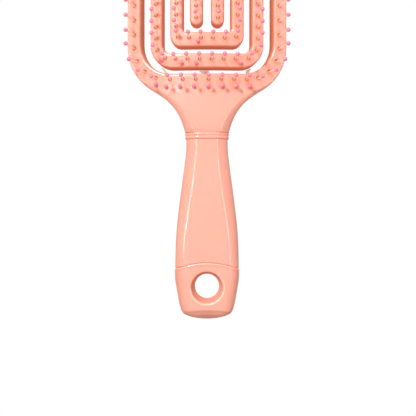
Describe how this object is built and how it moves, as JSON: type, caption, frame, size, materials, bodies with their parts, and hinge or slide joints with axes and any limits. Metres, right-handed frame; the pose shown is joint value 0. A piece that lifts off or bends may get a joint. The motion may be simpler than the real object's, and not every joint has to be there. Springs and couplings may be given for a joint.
{
  "type": "hair grooming brush",
  "caption": "Vented paddle hair brush: open crowned head of sprung U-shaped loops and fingers, ball-tipped nylon pins, and a hollow grip that ends in a hanging hole.",
  "frame": {"origin": "middle of the brush's box, on the surface that it lies on, back down", "axes": "+Y from the grip to the top of the head, +Z the way the pins point, +X to the right seen from the pins with the head up"},
  "size_m": [0.0872, 0.228, 0.0282],
  "materials": {
    "peach": "glossy moulded",
    "nylon": "satin translucent"
  },
  "bodies": {
    "frame": {"frame_front_shell": "peach", "frame_back_cover": "peach", "frame_pins_bottom": "nylon", "frame_pins_top": "nylon", "frame_pins_left": "nylon", "frame_pins_right": "nylon", "bridge_web_left": "nylon", "bridge_web_centre": "nylon", "bridge_web_right": "nylon", "collar_ring": "peach", "handle_sleeve": "peach", "end_cap": "peach"},
    "middle_loop": {"middle_loop_front_shell": "peach", "middle_loop_back_cover": "peach", "middle_loop_pins_bottom": "nylon", "middle_loop_pins_left": "nylon", "middle_loop_pins_right": "nylon"},
    "inner_loop": {"inner_loop_front_shell": "peach", "inner_loop_back_cover": "peach", "inner_loop_pins_bottom": "nylon", "inner_loop_pins_left": "nylon", "inner_loop_pins_right": "nylon"},
    "left_finger": {"left_finger_front_shell": "peach", "left_finger_back_cover": "peach", "left_finger_pins": "nylon"},
    "right_finger": {"right_finger_front_shell": "peach", "right_finger_back_cover": "peach", "right_finger_pins": "nylon"}
  },
  "joints": [
    {"name": "middle_loop_flex", "type": "hinge", "parent": "frame", "child": "middle_loop", "pos_m": [0, 0.1033, 0.00772], "axis": [1, 0, 0], "range_deg": [-2, 4], "stiffness_Nm_per_rad": 2},
    {"name": "inner_loop_flex", "type": "hinge", "parent": "frame", "child": "inner_loop", "pos_m": [0, 0.1033, 0.00902], "axis": [1, 0, 0], "range_deg": [-2, 4], "stiffness_Nm_per_rad": 1.2},
    {"name": "left_finger_flex", "type": "hinge", "parent": "frame", "child": "left_finger", "pos_m": [0, 0.1033, 0.00966], "axis": [1, 0, 0], "range_deg": [-2, 4], "stiffness_Nm_per_rad": 0.6},
    {"name": "right_finger_flex", "type": "hinge", "parent": "frame", "child": "right_finger", "pos_m": [0, 0.1033, 0.00966], "axis": [1, 0, 0], "range_deg": [-2, 4], "stiffness_Nm_per_rad": 0.6}
  ]
}
